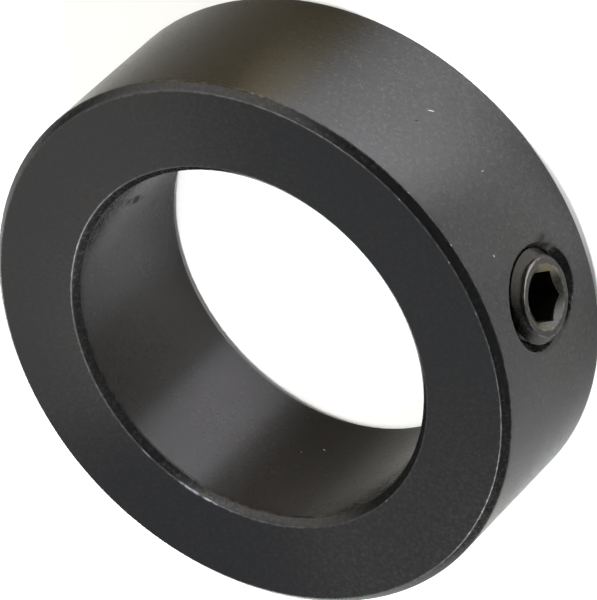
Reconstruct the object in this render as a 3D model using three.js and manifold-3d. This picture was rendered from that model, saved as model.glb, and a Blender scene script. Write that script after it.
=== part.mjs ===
// A one-piece set screw shaft collar: a bored steel ring with one socket set screw through its wall.
// Millimetres. The bore runs along +Z and the collar lies on z = 0. The screw lies along +X at half
// width, with its hex socket outward.
import * as THREE from "three";
import { mergeVertices } from "three/addons/utils/BufferGeometryUtils.js";
import Module from "manifold-3d";

const INCH = 25.4;
const FULL_TURN = 2 * Math.PI;

// Driving dimensions.
const ring = {
  boreRadius: 0.75 * INCH,
  outerRadius: 1.125 * INCH,
  width: 0.75 * INCH,
  chamfer: 0.75,
  segments: 128,
};
// 3/8-16 thread. The screw's surface lies inside the basic form by the clearance, the hole's outside it.
// Depths are parts of the sharp V's height. The lead-in, in pitches, is how far below the bore the helix
// starts, and the phase, in turns, sets where a crest reaches the screw's face.
const thread = {
  majorRadius: (3 / 16) * INCH,
  pitch: INCH / 16,
  clearance: 0.06,
  holeDepth: 5 / 8,
  screwDepth: 17 / 24,
  leadIn: 4,
  phase: 0.38,
  turns: 12,
  segments: 24,
};
// Conical mouth of the tapped hole, measured where the screw's axis leaves the outer surface.
const mouth = {
  radius: 5.7,
  slope: THREE.MathUtils.degToRad(45),
  segments: 64,
};
const screw = {
  length: (3 / 8) * INCH,
  rise: 0.4,
  faceRadius: 3.8,
  tipRadius: 2.37,
  cupRadius: 1.95,
  cupDepth: 1.1,
  coneLength: 1.2,
  splitGap: 0.02,
  segments: 48,
};
const socket = {
  acrossFlats: (3 / 16) * INCH,
  depth: 4.6,
  drillPoint: 0.9,
  drillStep: 0.05,
  leadRadius: 3.2,
  leadSlope: THREE.MathUtils.degToRad(30),
  turn: THREE.MathUtils.degToRad(7),
};
// How far a cutting solid stands out past the surface that it cuts.
const overcut = 1;

const wasm = await Module();
wasm.setup();

// Turns closed three.js geometry into a manifold-3d solid.
function toSolid(geometry) {
  const bare = geometry.clone();
  bare.deleteAttribute("normal");
  bare.deleteAttribute("uv");
  const merged = mergeVertices(bare, 1e-5);
  return new wasm.Manifold(
    new wasm.Mesh({
      numProp: 3,
      vertProperties: merged.attributes.position.array,
      triVerts: new Uint32Array(merged.index.array),
    }),
  );
}

// Turns a manifold-3d solid back into three.js geometry.
function toGeometry(solid) {
  const mesh = solid.getMesh();
  const geometry = new THREE.BufferGeometry();
  geometry.setAttribute("position", new THREE.BufferAttribute(mesh.vertProperties, 3));
  geometry.setIndex(new THREE.BufferAttribute(mesh.triVerts, 1));
  const flat = geometry.toNonIndexed();
  flat.computeVertexNormals();
  return flat;
}

// A solid of revolution about +X from [x, radius] points listed from low x to high x.
function turnedAboutX(outline, segments) {
  const points = outline.map(([x, radius]) => new THREE.Vector2(radius, x));
  const lathe = new THREE.LatheGeometry(points, segments);
  lathe.rotateZ(-Math.PI / 2);
  return toSolid(lathe);
}

// A rod along +X with a right-hand V thread of the given depth, and with rough ends that are cut off
// later. Each row of points runs the length of the rod, a little further round it than the last, and
// the row after the last is the first row, one pitch on.
function threadedRod(majorRadius, depth) {
  const start = ring.boreRadius - (thread.leadIn - thread.phase) * thread.pitch;
  const turns = thread.turns;
  const crest = thread.pitch / 8;
  const flank = depth * Math.tan(Math.PI / 6);
  const profile = [
    [0, majorRadius],
    [crest, majorRadius],
    [crest + flank, majorRadius - depth],
    [thread.pitch - flank, majorRadius - depth],
  ];
  const step = profile.length;
  const last = step * turns;
  const rows = thread.segments;
  const positions = [];
  for (let row = 0; row < rows; row++) {
    const angle = (FULL_TURN * row) / rows;
    for (let column = 0; column <= last; column++) {
      const [offset, radius] = profile[column % step];
      const turn = Math.floor(column / step) + row / rows;
      const x = start + thread.pitch * turn + offset;
      positions.push(x, radius * Math.cos(angle), radius * Math.sin(angle));
    }
  }
  const point = (row, column) => (row < rows ? row * (last + 1) + column : column + step);
  const triangles = [];
  for (let row = 0; row < rows; row++) {
    const columns = row < rows - 1 ? last : last - step;
    for (let column = 0; column < columns; column++) {
      const near = [point(row, column), point(row + 1, column)];
      const far = [point(row, column + 1), point(row + 1, column + 1)];
      triangles.push(near[0], near[1], far[1], near[0], far[1], far[0]);
    }
  }
  // Each rough end is a fan from a point on the axis to the end of every row and the step in the strip.
  const lowEdge = [];
  const highEdge = [];
  for (let row = 0; row < rows; row++) {
    lowEdge.push(point(row, 0));
    highEdge.push(point(rows - 1 - row, last));
  }
  for (let column = 0; column < step; column++) {
    lowEdge.push(point(0, step - column));
    highEdge.push(point(rows - 1, last - step + column));
  }
  for (const [edge, x] of [
    [lowEdge, start + thread.pitch / 2],
    [highEdge, start + thread.pitch * (turns + 0.5)],
  ]) {
    const centre = positions.length / 3;
    positions.push(x, 0, 0);
    edge.forEach((at, i) => triangles.push(centre, edge[(i + 1) % edge.length], at));
  }
  const geometry = new THREE.BufferGeometry();
  geometry.setAttribute("position", new THREE.Float32BufferAttribute(positions, 3));
  geometry.setIndex(triangles);
  return toSolid(geometry);
}

// Places worked out from the driving dimensions.
const faceX = ring.outerRadius + screw.rise;
const tipX = faceX - screw.length;
const splitX = tipX + screw.coneLength;
const sharpHeight = (thread.pitch * Math.sqrt(3)) / 2;

// The ring, chamfered at both ends inside and out.
function ringBlank() {
  const { boreRadius: inner, outerRadius: outer, width, chamfer } = ring;
  const outline = [
    [inner + chamfer, 0],
    [outer - chamfer, 0],
    [outer, chamfer],
    [outer, width - chamfer],
    [outer - chamfer, width],
    [inner + chamfer, width],
    [inner, width - chamfer],
    [inner, chamfer],
    [inner + chamfer, 0],
  ];
  const points = outline.map(([radius, z]) => new THREE.Vector2(radius, z));
  const lathe = new THREE.LatheGeometry(points, ring.segments);
  lathe.rotateX(Math.PI / 2);
  return toSolid(lathe);
}

// The collar's body: the ring with its tapped hole and the hole's conical mouth.
function collarBody() {
  const tap = threadedRod(thread.majorRadius + thread.clearance, thread.holeDepth * sharpHeight);
  const bottom = ring.boreRadius - thread.pitch;
  const top = ring.outerRadius + thread.pitch;
  const wide = thread.majorRadius + thread.pitch;
  const bounds = turnedAboutX([[bottom, 0], [bottom, wide], [top, wide], [top, 0]], thread.segments);
  const low = ring.outerRadius - mouth.radius * Math.tan(mouth.slope);
  const high = ring.outerRadius + overcut;
  const highRadius = mouth.radius + overcut / Math.tan(mouth.slope);
  const sink = turnedAboutX([[low, 0], [high, highRadius], [high, 0]], mouth.segments);
  const hole = tap.intersect(bounds).add(sink).translate([0, 0, ring.width / 2]);
  return ringBlank().subtract(hole);
}

// The hex socket with its drill point and its conical lead-in.
function socketCutter() {
  const cornerRadius = socket.acrossFlats / Math.sqrt(3);
  const floorX = faceX - socket.depth;
  const highX = faceX + overcut;
  const hex = new THREE.CylinderGeometry(cornerRadius, cornerRadius, highX - floorX, 6);
  hex.rotateZ(-Math.PI / 2);
  hex.rotateX(socket.turn);
  hex.translate((highX + floorX) / 2, 0, 0);
  const drillRadius = socket.acrossFlats / 2 - socket.drillStep;
  const drillEnd = floorX + overcut;
  const drill = turnedAboutX(
    [[floorX - socket.drillPoint, 0], [floorX, drillRadius], [drillEnd, drillRadius], [drillEnd, 0]],
    screw.segments,
  );
  const slope = Math.tan(socket.leadSlope);
  const highRadius = socket.leadRadius + overcut / slope;
  const lead = turnedAboutX(
    [[faceX - socket.leadRadius * slope, 0], [highX, highRadius], [highX, 0]],
    screw.segments,
  );
  return toSolid(hex).add(drill).add(lead);
}

// The screw's threaded shank, from the cup point to the socket end, chamfered at both ends.
function threadedShank() {
  const rod = threadedRod(thread.majorRadius - thread.clearance, thread.screwDepth * sharpHeight);
  const wide = thread.majorRadius + overcut;
  const outline = [
    [splitX, 0],
    [splitX, screw.tipRadius + screw.coneLength],
    [tipX + wide - screw.tipRadius, wide],
    [faceX + screw.faceRadius - wide, wide],
    [faceX, screw.faceRadius],
    [faceX, 0],
  ];
  const blank = turnedAboutX(outline, screw.segments);
  return rod.intersect(blank).subtract(socketCutter()).translate([0, 0, ring.width / 2]);
}

// The screw's cup point: the plain cone at its inner end, with the hollow that bites the shaft.
function cupPoint() {
  const outline = [
    [tipX + screw.cupDepth, 0],
    [tipX, screw.cupRadius],
    [tipX, screw.tipRadius],
    [splitX - screw.splitGap, screw.tipRadius + screw.coneLength - screw.splitGap],
    [splitX - screw.splitGap, 0],
  ];
  return turnedAboutX(outline, screw.segments).translate([0, 0, ring.width / 2]);
}

const blackOxide = new THREE.MeshStandardMaterial({ color: 0x34343a, roughness: 0.45, metalness: 0.8 });
const blackScrew = new THREE.MeshStandardMaterial({ color: 0x2a2828, roughness: 0.4, metalness: 0.8 });

function addNode(group, name, solid, material) {
  const mesh = new THREE.Mesh(toGeometry(solid), material);
  mesh.name = name;
  group.add(mesh);
}

const shaftCollar = new THREE.Group();
addNode(shaftCollar, "collar_body", collarBody(), blackOxide);
addNode(shaftCollar, "set_screw", threadedShank(), blackScrew);
addNode(shaftCollar, "set_screw_cup_point", cupPoint(), blackScrew);

export default shaftCollar;
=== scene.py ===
"""The looks of a one-piece set screw shaft collar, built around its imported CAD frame.

The bore is along +Z, the collar lies on z = 0, and the screw lies along +X at half width.
Everything is in metres.
"""
import math

import bmesh
import bpy
import numpy as np
from mathutils import Matrix, Vector


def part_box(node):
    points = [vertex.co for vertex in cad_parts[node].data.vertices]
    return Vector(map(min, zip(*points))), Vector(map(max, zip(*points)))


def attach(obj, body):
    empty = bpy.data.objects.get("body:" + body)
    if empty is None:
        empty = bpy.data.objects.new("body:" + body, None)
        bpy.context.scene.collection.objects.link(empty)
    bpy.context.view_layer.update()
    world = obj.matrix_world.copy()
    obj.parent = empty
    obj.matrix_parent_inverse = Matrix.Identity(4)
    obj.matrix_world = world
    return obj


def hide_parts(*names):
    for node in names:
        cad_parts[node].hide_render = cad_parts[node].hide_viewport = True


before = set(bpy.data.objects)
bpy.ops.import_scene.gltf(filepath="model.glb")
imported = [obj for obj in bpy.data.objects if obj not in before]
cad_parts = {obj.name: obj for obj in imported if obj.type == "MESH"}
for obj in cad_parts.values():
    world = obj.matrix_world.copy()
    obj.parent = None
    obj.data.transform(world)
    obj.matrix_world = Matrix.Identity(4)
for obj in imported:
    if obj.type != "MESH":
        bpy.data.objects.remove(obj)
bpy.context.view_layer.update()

MM = 0.001
FULL_TURN = 2 * math.pi

# Sizes read from the frame.
_, BODY_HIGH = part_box("collar_body")
_, SHANK_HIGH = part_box("set_screw")
POINT_LOW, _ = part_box("set_screw_cup_point")
OUTER = BODY_HIGH.y
WIDTH = BODY_HIGH.z
HALF_WIDTH = WIDTH / 2
FACE_X = SHANK_HIGH.x
TIP_X = POINT_LOW.x

# Proportions of the collar.
BORE = OUTER * 2 / 3
CHAMFER = 0.75 * MM
EDGE_ROUND = 0.05 * MM
ROUND_STEPS = 4
COLUMNS = 256
ROWS = 24
SHARP_ANGLE = math.radians(28)

# The screw's thread and the tapped hole's, which share one helix. It starts inside the bore: the
# lead-in counts the pitches short of the bore's wall, and the phase, in turns, sets where a crest meets
# the screw's face. The step is the spacing of the mesh along the screw.
MAJOR = OUTER / 6
PITCH = OUTER / 18
CLEARANCE = 0.06 * MM
SHARP_HEIGHT = PITCH * math.sqrt(3) / 2
HOLE_DEPTH = SHARP_HEIGHT * 5 / 8
SCREW_DEPTH = SHARP_HEIGHT * 17 / 24
THREAD_LEAD_IN = 4
THREAD_PHASE = 0.38
THREAD_START = BORE - (THREAD_LEAD_IN - THREAD_PHASE) * PITCH
THREAD_STEP = 0.12 * MM

# The conical mouth of the tapped hole.
MOUTH_RADIUS = 5.7 * MM
MOUTH_SLOPE = math.radians(45)
MOUTH_ROUND = 0.16 * MM
MOUTH_BEND_ROWS = 5

# The screw's ends and its socket.
SCREW_COLUMNS = 96
FACE_RADIUS = 3.8 * MM
TIP_RADIUS = 2.37 * MM
CUP_RADIUS = 1.95 * MM
CUP_DEPTH = 1.1 * MM
CONE_LENGTH = 1.25 * MM
LEAD_RADIUS = 3.2 * MM
LEAD_SLOPE = math.radians(30)
SOCKET_APOTHEM = OUTER / 12
SOCKET_DEPTH = 4.6 * MM
SOCKET_ROWS = 6
DRILL_POINT = 0.9 * MM
DRILL_STEP = 0.05 * MM
SOCKET_TURN = math.radians(7)
RIM_ROUND = 0.07 * MM

# Black oxide on the collar and on the screw: base colour, tint of its clouds, and roughness.
COLLAR_FINISH = ((0.0395, 0.0395, 0.0415, 1), (0.041, 0.040, 0.040, 1), 0.23)
SCREW_FINISH = ((0.036, 0.035, 0.034, 1), (0.042, 0.039, 0.036, 1), 0.3)
METALLIC = 0.8
IOR = 1.45
SPECULAR_TINT = (0.55, 0.55, 0.55, 1)
# Colours of the marks: fine pale specks, steel rubbed bare on the collar, steel rubbed bare on the
# screw that also paints a highlight along one side of its rim, steel burnished blue-grey, and dark rubs
# that also paint shade into the mouth of the screw hole.
SPECK = (0.3, 0.29, 0.28, 1)
BARE_COLLAR = (0.42, 0.415, 0.42, 1)
BARE_SCREW_AND_RIM_HIGHLIGHT = (0.42, 0.41, 0.4, 1)
BURNISH = (0.13, 0.135, 0.16, 1)
DARK_RUB_AND_SHADE = (0.012, 0.012, 0.012, 1)

# Painted reflections on the walls: darker bands of painted shade, brown-tinted on the outer wall, and
# one lighter band of painted sheen in the bore at 221 degrees, standing in for reflections: wall
# radius, angle and reach in degrees, and colour.
PAINTED_WALL_REFLECTIONS = [
    (OUTER, 81, 23, (0.024, 0.019, 0.008, 1)),
    (OUTER, 107, 28, (0.025, 0.020, 0.009, 1)),
    (BORE, 190, 22, (0.023, 0.022, 0.021, 1)),
    (BORE, 221, 17, (0.074, 0.072, 0.077, 1)),
    (BORE, 256, 26, (0.010, 0.008, 0.006, 1)),
    (BORE, 290, 24, (0.022, 0.020, 0.012, 1)),
]
# Painted reflections on the end faces, one lighter band of painted highlight and two darker bands of
# painted shade: angle and reach in degrees, and colour.
PAINTED_FACE_REFLECTIONS = [
    (140, 80, (0.058, 0.056, 0.056, 1)),
    (236, 45, (0.022, 0.023, 0.026, 1)),
    (20, 75, (0.027, 0.028, 0.030, 1)),
]

# Wear and marks on the collar, in mm and degrees. Burnished arcs in the top mouth of the bore: angle,
# length and width. Scratches, and dark rubs among which one is a painted shade in the mouth of the
# screw hole: radius, angle, height, length, width and tilt.
BURNISHED = [(231, 4.6, 0.5), (238, 2.5, 0.35), (214, 3.5, 0.2)]
SCRATCHES = [
    (28.575, 42.1, 7.7, 0.9, 0.12, 45),
    (28.575, 27.1, 8.5, 0.5, 0.1, 80),
    (28.575, 33.9, 18.3, 0.4, 0.1, 20),
    (28.575, 13.7, 13.9, 0.4, 0.16, 10),
    (28.575, 21.1, 18.3, 0.3, 0.16, 0),
    (27.825, 34.1, 19.05, 0.25, 0.16, 0),
    (27.825, 18.6, 19.05, 0.3, 0.16, 0),
    (19.05, 254.7, 6.2, 0.45, 0.2, 30),
    (19.05, 249.2, 7.6, 0.25, 0.14, 0),
]
DARK_RUBS_AND_MOUTH_SHADE = [
    (28.575, 42.7, 10.1, 0.9, 0.16, 50),
    # Painted shade in the mouth of the screw hole, not a rub.
    (28.2, 8.9, 6.3, 3.4, 2.0, 60),
    (21.2, 135.5, 19.05, 0.12, 1.9, 0),
    (23.2, 358, 19.05, 1.6, 0.12, 0),
    (19.05, 141.5, 10.0, 6.5, 1.3, -65),
]
# The side of the screw's rim that carries a painted highlight, and the shades of its lead-in: angle in
# degrees from +Y towards +Z, and colour.
RIM_HIGHLIGHT_ANGLE = math.radians(35)
LEAD_SHADES = [
    (-30, (0.085, 0.078, 0.05, 1)),
    (150, (0.085, 0.078, 0.05, 1)),
    (195, (0.09, 0.09, 0.09, 1)),
]
# Scales of the noise that makes clouds, mottling, pits, nicks on the worn edges of the collar and of
# the screw, the stretches that the collar's knocks gather in, and rubs and the painted shade in the
# mouth of the screw hole.
CLOUD_SCALE = 85.0
MOTTLE_SCALE = 2300.0
PIT_SCALE = 4200.0
COLLAR_NICK_SCALE = 1500.0
SCREW_NICK_SCALE = 1700.0
KNOCK_SCALE = 130.0
RUB_AND_SHADE_SCALE = 900.0

# The studio. Softboxes: name, azimuth, elevation (degrees), size (m), power (W) and colour. Patches of
# light on the dome: azimuth, elevation, reach (degrees) and glow.
SOFTBOXES = [
    ("side", -90, 40, 0.25, 11.3, (0.98, 1, 0.98)),
    ("top", 90, 60, 0.25, 5.0, (1, 0.99, 0.94)),
]
DOME_PATCHES = [
    (-150, 45, 40, (0.655, 0.65, 0.65)),
    (116, 27, 46, (1.8, 1.76, 1.66)),
]
SOFTBOX_DISTANCE = 0.8
POOL_DISTANCE = 0.5
FLOOR_REACH = 6.0
FLOOR_COLOUR = (0.85, 0.85, 0.85, 1)
FLOOR_GLOW = 0.15
# Spots that make pools of light on the floor: name, azimuth and elevation (degrees) that the spot
# shines from, azimuth (degrees) and radius (m) of the pool, width of the cone (degrees), blend, radius
# of the lamp (m) and power (W).
POOLS = [
    ("pool_in_front", 70, 45, 49, 0.0445, 4.3, 1.0, 0.004, 49),
    ("pool_beside", 90, 45, 78, 0.0495, 2.9, 1.0, 0.004, 44),
    ("pool_under_rim", 12, 14, 12, 0.029, 2.2, 1.0, 0.004, 16),
    ("pool_in_bore", 0, 90, 0, 0, 4.1, 0.4, 0.01, 4.2),
    ("pool_by_bore_wall", 3, 75, -178, 0.0162, 1.7, 1.0, 0.01, 33),
    ("pool_low_in_bore", 64, 75, -116, 0.015, 1.8, 1.0, 0.01, 5),
]

# The camera: where it stands around and above the collar and how far it is rolled about its own axis
# (degrees), its distance from the collar's middle, where that middle lies right of and above the middle
# of the picture (m), and its sensor and lens (mm).
CAMERA_AZIMUTH = 33.56
CAMERA_ELEVATION = 46.38
CAMERA_ROLL = 133.67
CAMERA_DISTANCE = 0.6402
CAMERA_AIM = (-0.248 * MM, -0.201 * MM)
SENSOR = 36.0
LENS = 397.3


# ---------------------------------------------------------------- mesh helpers


class Skin:
    """Gathers the vertices and faces of one closed mesh from rows of points."""

    def __init__(self):
        self.points = []
        self.faces = []

    def row(self, points):
        """Adds points and returns their numbers."""
        first = len(self.points)
        self.points.extend(tuple(p) for p in points)
        return list(range(first, len(self.points)))

    def strip(self, low, high, closed=True):
        """Joins two rows of equal length with quads."""
        count = len(low)
        for i in range(count if closed else count - 1):
            j = (i + 1) % count
            self.faces.append((low[i], low[j], high[j], high[i]))

    def loft(self, rows, closed=True):
        """Joins each row of points to the next."""
        numbered = [self.row(points) for points in rows]
        for low, high in zip(numbered, numbered[1:]):
            self.strip(low, high, closed)

    def build(self, name):
        """Makes the object: doubled points are merged, and edges over SHARP_ANGLE are left sharp."""
        mesh = bpy.data.meshes.new(name)
        mesh.from_pydata(self.points, [], self.faces)
        work = bmesh.new()
        work.from_mesh(mesh)
        bmesh.ops.remove_doubles(work, verts=work.verts, dist=0.002 * MM)
        bmesh.ops.dissolve_degenerate(work, dist=0.0005 * MM, edges=work.edges)
        bmesh.ops.recalc_face_normals(work, faces=work.faces)
        for face in work.faces:
            face.smooth = True
        work.to_mesh(mesh)
        work.free()
        mesh.set_sharp_from_angle(angle=SHARP_ANGLE)
        piece = bpy.data.objects.new(name, mesh)
        bpy.context.scene.collection.objects.link(piece)
        return piece


def on_cylinder(radius, angle, z):
    """A point at an angle from +X around the bore's axis."""
    return (radius * math.cos(angle), radius * math.sin(angle), z)


def on_screw(x, radius, angle):
    """A point at an angle from +Y towards +Z around the screw's axis."""
    return (x, radius * math.cos(angle), HALF_WIDTH + radius * math.sin(angle))


def rounded(outline, reach):
    """An outline of points whose corners are replaced by short curves. End points stay."""
    result = [outline[0]]
    for before, corner, after in zip(outline, outline[1:], outline[2:]):
        corner = Vector(corner)
        start = corner + (Vector(before) - corner).normalized() * reach
        end = corner + (Vector(after) - corner).normalized() * reach
        for i in range(ROUND_STEPS + 1):
            t = i / ROUND_STEPS
            bent = start * (1 - t) ** 2 + corner * 2 * t * (1 - t) + end * t**2
            result.append(tuple(bent))
    result.append(outline[-1])
    return result


def thread_profile(depth):
    """One pitch of a V thread as (place along the pitch, depth below the crest) corners."""
    crest = PITCH / 8
    flank = depth * math.tan(math.pi / 6)
    return [(0, 0), (crest, 0), (crest + flank, depth), (PITCH - flank, depth), (PITCH, 0)]


def thread_radius(x, angle, major, depth):
    """The thread's radius at a place along the screw's axis and an angle around it."""
    along = (x - THREAD_START - PITCH * angle / FULL_TURN) % PITCH
    places, depths = zip(*thread_profile(depth))
    return major - float(np.interp(along, places, depths))


def spiral(skin, angles, depth, low, high, point):
    """Winds a threaded wall between two curves, low(i) and high(i), in rows that follow the helix.

    angles are the columns around the axis, in order and a full turn long. point(x, i) gives the wall's
    place. Rows outside the two curves collapse onto them and are merged later.
    """
    count = len(angles)
    places = [place for place, _ in thread_profile(depth)]
    offsets = []
    for start, end in zip(places, places[1:]):
        steps = max(2, round((end - start) / THREAD_STEP))
        offsets.extend(start + (end - start) * s / steps for s in range(steps))
    per_turn = len(offsets)
    lean = [THREAD_START + PITCH * angle / FULL_TURN for angle in angles]
    lows = [low(i) for i in range(count)]
    highs = [high(i) for i in range(count)]
    first = math.floor((min(lows) - max(lean)) / PITCH) - 2
    last = math.ceil((max(highs) - min(lean)) / PITCH) + 2
    rows = []
    for turn in range(first, last):
        for offset in offsets:
            points = []
            for i in range(count):
                x = lean[i] + PITCH * turn + offset
                points.append(point(min(max(x, lows[i]), highs[i]), i))
            rows.append(skin.row(points))
    for number, near in enumerate(rows[:-1]):
        far = rows[number + 1]
        skin.strip(near, far, closed=False)
        if number + per_turn + 1 < len(rows):
            near_end = rows[number + per_turn][0]
            far_end = rows[number + per_turn + 1][0]
            skin.faces.append((near[-1], near_end, far_end, far[-1]))


# ---------------------------------------------------------------- the collar


# Around the screw hole each wall has a square patch, PATCH columns to each side and as tall as the
# wall. Its edge has as many points as the hole has columns, and its rings crowd towards the hole.
PATCH = ROWS // 2
PATCH_CROWDING = 0.8
COLUMN_STEP = FULL_TURN / COLUMNS
HOLE_COLUMNS = 4 * ROWS
HOLE_ANGLES = [FULL_TURN * k / HOLE_COLUMNS for k in range(HOLE_COLUMNS)]
# Rounds of trial after which the places of the hole's two edges have settled.
MOUTH_TRIALS = 40
BORE_TRIALS = 60


def ring_outline(side):
    """Radius and height along one end face, from the outer wall to the bore.

    Side 0 is the bottom and side 1 the top.
    """
    corners = [
        (OUTER, CHAMFER + EDGE_ROUND),
        (OUTER, CHAMFER),
        (OUTER - CHAMFER, 0),
        (BORE + CHAMFER, 0),
        (BORE, CHAMFER),
        (BORE, CHAMFER + EDGE_ROUND),
    ]
    shape = rounded(corners, EDGE_ROUND)
    return [(radius, WIDTH - z if side else z) for radius, z in shape]


def add_wall(skin, radius):
    """A cylindrical wall in columns and rows, without the square patch around the screw hole."""
    low = CHAMFER + EDGE_ROUND
    heights = [low + (WIDTH - 2 * low) * row / ROWS for row in range(ROWS + 1)]
    columns = range(PATCH, COLUMNS - PATCH + 1)
    rows = [[on_cylinder(radius, COLUMN_STEP * i, z) for i in columns] for z in heights]
    skin.loft(rows, closed=False)


def patch_edge():
    """The patch's outer edge as (angle, height) points, from its +Y side round towards +Z."""
    low = CHAMFER + EDGE_ROUND
    step = (WIDTH - 2 * low) / ROWS
    half = ROWS // 2
    edge = [(PATCH, row) for row in range(0, half)]
    edge += [(column, half) for column in range(PATCH, -PATCH, -1)]
    edge += [(-PATCH, row) for row in range(half, -half, -1)]
    edge += [(column, -half) for column in range(-PATCH, PATCH)]
    edge += [(PATCH, row) for row in range(-half, 0)]
    return [(column * COLUMN_STEP, HALF_WIDTH + row * step) for column, row in edge]


def add_patch(skin, radius, hole, rings=10):
    """The square patch of a wall, from its outer edge in to the hole's (angle, height) edge."""
    rows = []
    for ring in range(rings + 1):
        t = (ring / rings) ** PATCH_CROWDING
        points = []
        for (far_angle, far_z), (near_angle, near_z) in zip(patch_edge(), hole):
            angle = far_angle + (near_angle - far_angle) * t
            points.append(on_cylinder(radius, angle, far_z + (near_z - far_z) * t))
        rows.append(points)
    skin.loft(rows)


def wall_x(radius, distance, angle):
    """Where a wall lies along X, at a distance and an angle from the screw's axis."""
    return math.sqrt(radius**2 - (distance * math.cos(angle)) ** 2)


def mouth_radius_at(x):
    """The mouth cone's radius at a place along the screw's axis."""
    return MOUTH_RADIUS - (OUTER - x) / math.tan(MOUTH_SLOPE)


def mouth_edge(angle):
    """The distance from the screw's axis at which the mouth cone meets the outer wall."""
    distance = MOUTH_RADIUS
    for _ in range(MOUTH_TRIALS):
        distance = mouth_radius_at(wall_x(OUTER, distance, angle))
    return distance


def hole_radius(x, angle):
    """The tapped hole's wall: the thread, or the mouth cone where that is wider."""
    return max(thread_radius(x, angle, MAJOR + CLEARANCE, HOLE_DEPTH), mouth_radius_at(x))


def bore_edge(angle):
    """The distance from the screw's axis at which the tapped hole meets the bore."""
    distance = MAJOR
    for _ in range(BORE_TRIALS):
        distance = 0.5 * distance + 0.5 * hole_radius(wall_x(BORE, distance, angle), angle)
    return distance


def as_wall_point(radius, distance, angle):
    """A hole edge point as (angle round the bore's axis, height)."""
    across = distance * math.cos(angle)
    return (math.asin(across / radius), HALF_WIDTH + distance * math.sin(angle))


def add_screw_hole(skin):
    """The tapped hole with its rounded conical mouth, between the outer wall and the bore."""
    outer_hole = []
    bend_rows = [[] for _ in range(MOUTH_BEND_ROWS)]
    top_x = []
    for angle in HOLE_ANGLES:
        edge = mouth_edge(angle)
        outside = edge + MOUTH_ROUND
        outer_hole.append(as_wall_point(OUTER, outside, angle))
        start = Vector(on_screw(wall_x(OUTER, outside, angle), outside, angle))
        corner = Vector(on_screw(wall_x(OUTER, edge, angle), edge, angle))
        end_x = corner.x - MOUTH_ROUND * math.sin(MOUTH_SLOPE)
        end = Vector(on_screw(end_x, mouth_radius_at(end_x), angle))
        for step, row in enumerate(bend_rows):
            t = step / (MOUTH_BEND_ROWS - 1)
            row.append(start * (1 - t) ** 2 + corner * 2 * t * (1 - t) + end * t**2)
        top_x.append(end_x)
    add_patch(skin, OUTER, outer_hole)
    skin.loft(bend_rows)
    bore_distances = [bore_edge(angle) for angle in HOLE_ANGLES]
    bore_hole = [as_wall_point(BORE, d, a) for d, a in zip(bore_distances, HOLE_ANGLES)]
    add_patch(skin, BORE, bore_hole, rings=5)
    bottom_x = [wall_x(BORE, d, a) for d, a in zip(bore_distances, HOLE_ANGLES)]

    def wall_point(x, i):
        return on_screw(x, hole_radius(x, HOLE_ANGLES[i]), HOLE_ANGLES[i])

    spiral(skin, HOLE_ANGLES, HOLE_DEPTH, bottom_x.__getitem__, top_x.__getitem__, wall_point)


def make_collar():
    """The ring with its chamfers, bore and tapped hole, as one closed mesh."""
    skin = Skin()
    for side in (0, 1):
        angles = [COLUMN_STEP * i for i in range(COLUMNS)]
        rows = [[on_cylinder(r, a, z) for a in angles] for r, z in ring_outline(side)]
        skin.loft(rows)
    add_wall(skin, OUTER)
    add_wall(skin, BORE)
    add_screw_hole(skin)
    return skin.build("collar_body_shell")


# ---------------------------------------------------------------- the screw


SCREW_ANGLES = [SOCKET_TURN + FULL_TURN * k / SCREW_COLUMNS for k in range(SCREW_COLUMNS)]


def hex_radius(angle):
    """The socket's radius at an angle round the screw's axis."""
    side = (angle - SOCKET_TURN) % (FULL_TURN / 6) - FULL_TURN / 12
    return SOCKET_APOTHEM / math.cos(side)


def shank_limit(x):
    """The radius that the screw's two end chamfers allow."""
    return min(TIP_RADIUS + (x - TIP_X), FACE_RADIUS + (FACE_X - x))


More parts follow.
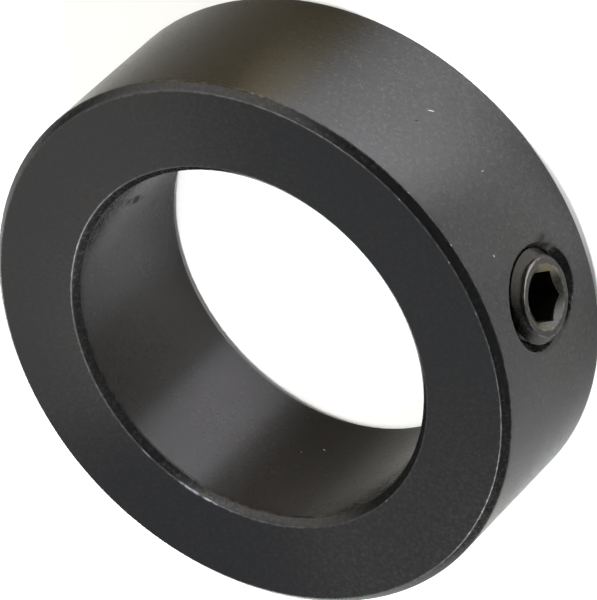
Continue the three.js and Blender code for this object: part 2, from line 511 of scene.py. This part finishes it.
def make_screw():
    """The whole screw as one closed mesh: socket, threaded shank and cup point."""
    skin = Skin()

    def circle(x, radius):
        return [on_screw(x, radius, angle) for angle in SCREW_ANGLES]

    def socket_row(x, scale=1.0):
        return [on_screw(x, scale * hex_radius(angle), angle) for angle in SCREW_ANGLES]

    floor_x = FACE_X - SOCKET_DEPTH
    drill_radius = SOCKET_APOTHEM - DRILL_STEP
    slope = math.tan(LEAD_SLOPE)
    rows = [circle(floor_x - DRILL_POINT, 0)]
    rows += [circle(floor_x - DRILL_POINT * (1 - t), drill_radius * t) for t in (0.34, 0.67, 1)]
    rows += [socket_row(floor_x)]
    top = []
    for angle in SCREW_ANGLES:
        x = FACE_X - (LEAD_RADIUS - hex_radius(angle)) * slope
        top.append(on_screw(x, hex_radius(angle), angle))
    rim = circle(FACE_X, LEAD_RADIUS)
    for step in range(1, SOCKET_ROWS):
        t = step / SOCKET_ROWS
        rows.append([Vector(a).lerp(Vector(b), t) for a, b in zip(socket_row(floor_x), top)])
    rows.append(top)
    for t in (0.3, 0.6, 0.85):
        rows.append([Vector(a).lerp(Vector(b), t) for a, b in zip(top, rim)])
    # The first and the last corner only say which way the rim's sides run.
    corners = [
        (FACE_X - 0.3 * MM, LEAD_RADIUS - 0.3 * MM / slope),
        (FACE_X, LEAD_RADIUS),
        (FACE_X, FACE_RADIUS),
        (FACE_X - 0.2 * MM, FACE_RADIUS + 0.2 * MM),
    ]
    bend = rounded(corners, RIM_ROUND)[1:-1]
    rows += [circle(x, radius) for x, radius in bend]
    skin.loft(rows)

    head_x, _ = bend[-1]
    neck_x = TIP_X + CONE_LENGTH

    def shank_point(x, i):
        angle = SCREW_ANGLES[i]
        radius = min(thread_radius(x, angle, MAJOR - CLEARANCE, SCREW_DEPTH), shank_limit(x))
        return on_screw(x, radius, angle)

    spiral(skin, SCREW_ANGLES, SCREW_DEPTH, lambda i: neck_x, lambda i: head_x, shank_point)

    cup = [
        (neck_x, shank_limit(neck_x)),
        (TIP_X, TIP_RADIUS),
        (TIP_X, CUP_RADIUS),
        (TIP_X + CUP_DEPTH, 0),
    ]
    skin.loft([circle(x, radius) for x, radius in rounded(cup, RIM_ROUND)])
    return skin.build("set_screw_whole")


# ---------------------------------------------------------------- materials


class Nodes:
    """Short names for building a node tree."""

    def __init__(self, owner):
        self.tree = owner.node_tree
        self.tree.nodes.clear()

    def add(self, kind, **settings):
        node = self.tree.nodes.new(kind)
        for name, value in settings.items():
            setattr(node, name, value)
        return node

    def feed(self, socket, value):
        if isinstance(value, bpy.types.NodeSocket):
            self.tree.links.new(value, socket)
        else:
            socket.default_value = value

    def math(self, operation, a, b=0.0, clamp=False):
        node = self.add("ShaderNodeMath", operation=operation, use_clamp=clamp)
        self.feed(node.inputs[0], a)
        self.feed(node.inputs[1], b)
        return node.outputs[0]

    def hypot(self, a, b):
        squares = self.math("ADD", self.math("MULTIPLY", a, a), self.math("MULTIPLY", b, b))
        return self.math("SQRT", squares)

    def noise(self, vector, scale, detail, roughness=0.6):
        node = self.add("ShaderNodeTexNoise")
        self.feed(node.inputs["Vector"], vector)
        self.feed(node.inputs["Scale"], scale)
        self.feed(node.inputs["Detail"], detail)
        self.feed(node.inputs["Roughness"], roughness)
        return node.outputs["Fac"]

    def band(self, value, low, high, out_low=0.0, out_high=1.0):
        node = self.add("ShaderNodeMapRange", interpolation_type="SMOOTHSTEP")
        self.feed(node.inputs["Value"], value)
        self.feed(node.inputs["From Min"], low)
        self.feed(node.inputs["From Max"], high)
        self.feed(node.inputs["To Min"], out_low)
        self.feed(node.inputs["To Max"], out_high)
        return node.outputs["Result"]

    def mix(self, factor, a, b):
        node = self.add("ShaderNodeMix", data_type="RGBA")
        self.feed(node.inputs["Factor"], factor)
        self.feed(node.inputs["A"], a)
        self.feed(node.inputs["B"], b)
        return node.outputs["Result"]

    def fit_ellipsoid(self, place, centre, reach, turn):
        """The distance from a centre, measured so that an ellipsoid of the given reach is 1."""
        node = self.add("ShaderNodeMapping", vector_type="TEXTURE")
        self.feed(node.inputs["Vector"], place)
        self.feed(node.inputs["Location"], centre)
        self.feed(node.inputs["Rotation"], turn)
        self.feed(node.inputs["Scale"], reach)
        length = self.add("ShaderNodeVectorMath", operation="LENGTH")
        self.feed(length.inputs[0], node.outputs["Vector"])
        return length.outputs["Value"]

    def mark(self, place, radius, angle, height, length, width, tilt):
        """Near 1 in a short mark on the collar, at a radius, an angle in degrees and a height.

        tilt in degrees turns the mark from along the rim towards along the bore. The same mark on an
        end face lies along the rim.
        """
        around = math.radians(angle)
        centre = on_cylinder(radius, around, height)
        turn = (0, -math.radians(tilt), around + math.pi / 2)
        reach = (length / 2, width / 2, width / 2)
        return self.band(self.fit_ellipsoid(place, centre, reach, turn), 0.4, 1.0, 1.0, 0.0)


def black_oxide(name, base, tint, roughness, details):
    """Black oxide steel: near-black, satin and finely mottled, with pale worn spots.

    details(nodes, place, colour) returns the colour with the piece's own marks and painted light, how
    worn it is (on the screw this also holds the painted highlight on its rim) and how dull.
    """
    material = bpy.data.materials.new(name)
    material.use_nodes = True
    nodes = Nodes(material)
    place = nodes.add("ShaderNodeTexCoord").outputs["Object"]

    cloud = nodes.noise(place, CLOUD_SCALE, 3.0)
    mottle = nodes.noise(place, MOTTLE_SCALE, 3.0, 0.75)
    pits = nodes.noise(place, PIT_SCALE, 2.0, 0.5)
    colour = nodes.mix(nodes.band(cloud, 0.38, 0.64), base, tint)
    dark = tuple(0.66 * part for part in base[:3]) + (1.0,)
    colour = nodes.mix(nodes.band(mottle, 0.38, 0.56, 0.48, 0.0), colour, dark)
    pale = tuple(1.9 * part for part in base[:3]) + (1.0,)
    colour = nodes.mix(nodes.band(mottle, 0.54, 0.72, 0.0, 0.28), colour, pale)
    colour = nodes.mix(nodes.band(pits, 0.745, 0.8, 0.0, 0.6), colour, SPECK)
    colour, wear, dull = details(nodes, place, colour)

    rough = nodes.band(mottle, 0.3, 0.7, roughness - 0.05, roughness + 0.06)
    rough = nodes.math("ADD", rough, nodes.band(cloud, 0.3, 0.7, -0.02, 0.03))
    rough = nodes.math("ADD", rough, nodes.math("MULTIPLY", dull, 0.4))
    rough = nodes.math("SUBTRACT", rough, nodes.math("MULTIPLY", wear, 0.1), clamp=True)

    bump = nodes.add("ShaderNodeBump")
    bump.inputs["Strength"].default_value = 0.4
    bump.inputs["Distance"].default_value = 0.02 * MM
    nodes.feed(bump.inputs["Height"], nodes.math("ADD", mottle, nodes.math("MULTIPLY", pits, 0.5)))

    shader = nodes.add("ShaderNodeBsdfPrincipled")
    nodes.feed(shader.inputs["Base Color"], colour)
    nodes.feed(shader.inputs["Roughness"], rough)
    nodes.feed(shader.inputs["Normal"], bump.outputs["Normal"])
    shader.inputs["Metallic"].default_value = METALLIC
    shader.inputs["IOR"].default_value = IOR
    shader.inputs["Specular Tint"].default_value = SPECULAR_TINT
    output = nodes.add("ShaderNodeOutputMaterial")
    nodes.feed(output.inputs["Surface"], shader.outputs["BSDF"])
    return material


def split(nodes, place):
    """The x, y and z of a place."""
    parts = nodes.add("ShaderNodeSeparateXYZ")
    nodes.feed(parts.inputs[0], place)
    return parts.outputs


def distance_to(nodes, across, up, corner):
    """The distance, in a section through the part, to a corner at (across, up)."""
    side = nodes.math("SUBTRACT", across, corner[0])
    rise = nodes.math("SUBTRACT", up, corner[1])
    return nodes.hypot(side, rise)


def toward(nodes, across, up, angle):
    """How far a place is from an axis in the direction of an angle."""
    sideways = nodes.math("MULTIPLY", across, math.cos(angle))
    upward = nodes.math("MULTIPLY", up, math.sin(angle))
    return nodes.math("ADD", sideways, upward)


def ring_details(nodes, place, colour):
    """The collar's own marks and painted light: painted shade and painted sheen in bands on the walls
    and end faces, worn chamfer corners, burnished arcs in the bore's mouth, scratches, dark rubs, and a
    painted shade in the mouth of the screw hole."""
    x, y, z = split(nodes, place)
    radius = nodes.hypot(x, y)
    across = nodes.math("ABSOLUTE", nodes.math("SUBTRACT", radius, (OUTER + BORE) / 2))
    up = nodes.math("ABSOLUTE", nodes.math("SUBTRACT", z, HALF_WIDTH))
    half_wall = (OUTER - BORE) / 2
    wall_corner = distance_to(nodes, across, up, (half_wall, HALF_WIDTH - CHAMFER))
    face_corner = distance_to(nodes, across, up, (half_wall - CHAMFER, HALF_WIDTH))
    nearest = nodes.math("MINIMUM", wall_corner, face_corner)
    edge = nodes.band(nearest, 0.03 * MM, 0.16 * MM, 1.0, 0.0)
    nick = nodes.noise(place, COLLAR_NICK_SCALE, 3.0, 0.6)
    patch = nodes.band(nodes.noise(place, KNOCK_SCALE, 2.0), 0.5, 0.66)
    knocks = nodes.math("MULTIPLY", nodes.band(nick, 0.58, 0.7, 0.0, 0.4), patch)
    rubbed = nodes.math("MAXIMUM", nodes.band(nick, 0.35, 0.65, 0.0, 0.08), knocks)
    wear = nodes.math("MULTIPLY", edge, rubbed)

    # Painted shade and painted sheen: bands of colour on the walls that stand in for reflections.
    for wall, angle, reach, shade in PAINTED_WALL_REFLECTIONS:
        off_wall = nodes.math("ABSOLUTE", nodes.math("SUBTRACT", radius, wall))
        on_wall = nodes.band(off_wall, 0.04 * MM, 0.12 * MM, 1.0, 0.0)
        edge_of_patch = wall * math.cos(math.radians(reach))
        side = nodes.band(toward(nodes, x, y, math.radians(angle)), edge_of_patch, wall)
        colour = nodes.mix(nodes.math("MULTIPLY", on_wall, side), colour, shade)
    on_face = nodes.band(up, HALF_WIDTH - 0.3 * MM, HALF_WIDTH - 0.1 * MM)
    # Painted highlight and painted shade: lighter and darker bands on the end faces that stand in for
    # reflections.
    for angle, reach, shade in PAINTED_FACE_REFLECTIONS:
        facing = nodes.math("DIVIDE", toward(nodes, x, y, math.radians(angle)), radius)
        side = nodes.band(facing, math.cos(math.radians(reach)), 1.0, 0.0, 0.75)
        colour = nodes.mix(nodes.math("MULTIPLY", on_face, side), colour, shade)

    mouth = BORE + CHAMFER
    streaks = nodes.band(nick, 0.42, 0.62)
    for angle, length, width in BURNISHED:
        arc = nodes.mark(place, mouth, angle, WIDTH, length * MM, width * MM, 0)
        colour = nodes.mix(nodes.math("MULTIPLY", arc, streaks), colour, BURNISH)
    for radius_mm, angle, height, length, width, tilt in SCRATCHES:
        scratch = nodes.mark(place, radius_mm * MM, angle, height * MM, length * MM, width * MM, tilt)
        wear = nodes.math("MAXIMUM", wear, scratch)
    colour = nodes.mix(wear, colour, BARE_COLLAR)
    dull = nodes.math("MULTIPLY", edge, 0.5)
    rub_and_shade = nodes.noise(place, RUB_AND_SHADE_SCALE, 3.0, 0.6)
    # Dark rubs; the mark at 8.9 degrees is painted shade in the mouth of the screw hole.
    for radius_mm, angle, height, length, width, tilt in DARK_RUBS_AND_MOUTH_SHADE:
        mark = nodes.mark(place, radius_mm * MM, angle, height * MM, length * MM, width * MM, tilt)
        mark = nodes.math("MULTIPLY", mark, nodes.band(rub_and_shade, 0.4, 0.55, 0.2, 0.9))
        colour = nodes.mix(mark, colour, DARK_RUB_AND_SHADE)
        dull = nodes.math("MAXIMUM", dull, mark)
    return colour, wear, dull


def screw_details(nodes, place, colour):
    """The screw's own marks and painted light: nicks of wear on the rim, a painted highlight along one
    side of the rim, and pale patches in the lead-in.
    """
    x, y, z = split(nodes, place)
    height = nodes.math("SUBTRACT", z, HALF_WIDTH)
    radius = nodes.hypot(y, height)
    outer_rim = distance_to(nodes, radius, x, (FACE_RADIUS, FACE_X))
    inner_rim = distance_to(nodes, radius, x, (LEAD_RADIUS, FACE_X))
    edge = nodes.band(nodes.math("MINIMUM", outer_rim, inner_rim), 0.04 * MM, 0.16 * MM, 1.0, 0.0)
    nick = nodes.noise(place, SCREW_NICK_SCALE, 3.0, 0.6)
    wear = nodes.math("MULTIPLY", edge, nodes.band(nick, 0.45, 0.7, 0.0, 0.2))
    # Painted highlight: the rim's lit side is drawn in bare steel colour and mixed in with the wear.
    rim = nodes.band(outer_rim, 0.05 * MM, 0.15 * MM, 0.45, 0.0)
    lit = nodes.band(toward(nodes, y, height, RIM_HIGHLIGHT_ANGLE), 0.72 * FACE_RADIUS, 0.95 * FACE_RADIUS)
    wear = nodes.math("MAXIMUM", wear, nodes.math("MULTIPLY", rim, lit))
    inside = nodes.band(radius, LEAD_RADIUS - 0.05 * MM, LEAD_RADIUS + 0.02 * MM, 1.0, 0.0)
    lead = nodes.math("MULTIPLY", inside, nodes.band(x, FACE_X - 0.8 * MM, FACE_X - 0.5 * MM))
    for angle, shade in LEAD_SHADES:
        along = toward(nodes, y, height, math.radians(angle))
        side = nodes.band(along, 0.55 * LEAD_RADIUS, 0.9 * LEAD_RADIUS)
        colour = nodes.mix(nodes.math("MULTIPLY", lead, side), colour, shade)
    colour = nodes.mix(wear, colour, BARE_SCREW_AND_RIM_HIGHLIGHT)
    return colour, wear, 0.0


# ---------------------------------------------------------------- stage


def direction(azimuth, elevation):
    """The unit vector towards an azimuth and elevation in degrees."""
    around, above = math.radians(azimuth), math.radians(elevation)
    flat = math.cos(above)
    return Vector((flat * math.cos(around), flat * math.sin(around), math.sin(above)))


def make_camera():
    """The camera of the reference view, with its roll."""
    around, roll = math.radians(CAMERA_AZIMUTH), math.radians(CAMERA_ROLL)
    back = direction(CAMERA_AZIMUTH, CAMERA_ELEVATION)
    level = Vector((-math.sin(around), math.cos(around), 0))
    upright = back.cross(level)
    up = upright * math.cos(roll) + level * math.sin(roll)
    right = level * math.cos(roll) - upright * math.sin(roll)
    centre = Vector((0, 0, HALF_WIDTH))
    place = centre - right * CAMERA_AIM[0] - up * CAMERA_AIM[1] + back * CAMERA_DISTANCE
    data = bpy.data.cameras.new("view")
    data.sensor_fit = "HORIZONTAL"
    data.sensor_width = SENSOR
    data.lens = LENS
    data.clip_start = 0.05
    data.clip_end = 50
    camera = bpy.data.objects.new("view", data)
    camera.matrix_world = Matrix((
        (right.x, up.x, back.x, place.x),
        (right.y, up.y, back.y, place.y),
        (right.z, up.z, back.z, place.z),
        (0, 0, 0, 1),
    ))
    bpy.context.scene.collection.objects.link(camera)
    bpy.context.scene.camera = camera


def make_floor():
    """A wide, plain, pale floor that glows a little, which softens the shadow under the collar."""
    mesh = bpy.data.meshes.new("floor")
    far = FLOOR_REACH
    corners = [(-far, -far, 0), (far, -far, 0), (far, far, 0), (-far, far, 0)]
    mesh.from_pydata(corners, [], [(0, 1, 2, 3)])
    floor = bpy.data.objects.new("floor", mesh)
    bpy.context.scene.collection.objects.link(floor)
    material = bpy.data.materials.new("floor_paper")
    material.use_nodes = True
    shader = material.node_tree.nodes["Principled BSDF"]
    shader.inputs["Base Color"].default_value = FLOOR_COLOUR
    shader.inputs["Roughness"].default_value = 0.9
    shader.inputs["Emission Color"].default_value = (1, 1, 1, 1)
    shader.inputs["Emission Strength"].default_value = FLOOR_GLOW
    mesh.materials.append(material)


def make_world():
    """A dark dome with two soft bright patches: a high one behind the collar, a lower one beside it."""
    world = bpy.data.worlds.new("studio")
    bpy.context.scene.world = world
    world.use_nodes = True
    nodes = Nodes(world)
    way = nodes.add("ShaderNodeTexCoord").outputs["Generated"]
    colour = (0, 0, 0, 1)
    for azimuth, elevation, reach, glow in DOME_PATCHES:
        facing = nodes.add("ShaderNodeVectorMath", operation="DOT_PRODUCT")
        nodes.feed(facing.inputs[0], way)
        nodes.feed(facing.inputs[1], direction(azimuth, elevation))
        patch = nodes.band(facing.outputs["Value"], math.cos(math.radians(reach)), 1.0)
        colour = nodes.mix(patch, colour, glow + (1,))
    background = nodes.add("ShaderNodeBackground")
    nodes.feed(background.inputs["Color"], colour)
    output = nodes.add("ShaderNodeOutputWorld")
    nodes.feed(output.inputs["Surface"], background.outputs["Background"])


def place_light(name, data, target, azimuth, elevation, distance):
    """Stands a light at an azimuth, elevation and distance from its target, facing it."""
    light = bpy.data.objects.new(name, data)
    back = direction(azimuth, elevation)
    light.location = Vector(target) + back * distance
    light.rotation_euler = back.to_track_quat("Z", "Y").to_euler()
    bpy.context.scene.collection.objects.link(light)


def make_lights():
    """The dome, the two softboxes and the spots that make the pools of light."""
    make_world()
    for name, azimuth, elevation, size, power, colour in SOFTBOXES:
        data = bpy.data.lights.new(name, "AREA")
        data.shape = "SQUARE"
        data.size = size
        data.energy = power
        data.color = colour
        place_light(name, data, (0, 0, HALF_WIDTH), azimuth, elevation, SOFTBOX_DISTANCE)
    for name, azimuth, elevation, around, radius, cone, blend, lamp, power in POOLS:
        data = bpy.data.lights.new(name, "SPOT")
        data.energy = power
        data.spot_size = math.radians(cone)
        data.spot_blend = blend
        data.shadow_soft_size = lamp
        pool = on_cylinder(radius, math.radians(around), 0)
        place_light(name, data, pool, azimuth, elevation, POOL_DISTANCE)


collar = make_collar()
screw = make_screw()
collar.data.materials.append(black_oxide("black_oxide_steel", *COLLAR_FINISH, ring_details))
screw.data.materials.append(black_oxide("black_oxide_screw", *SCREW_FINISH, screw_details))

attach(collar, "collar")
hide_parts("collar_body")
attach(screw, "screw")
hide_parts("set_screw", "set_screw_cup_point")

make_floor()
make_lights()
make_camera()
bpy.context.scene.view_settings.view_transform = "Standard"
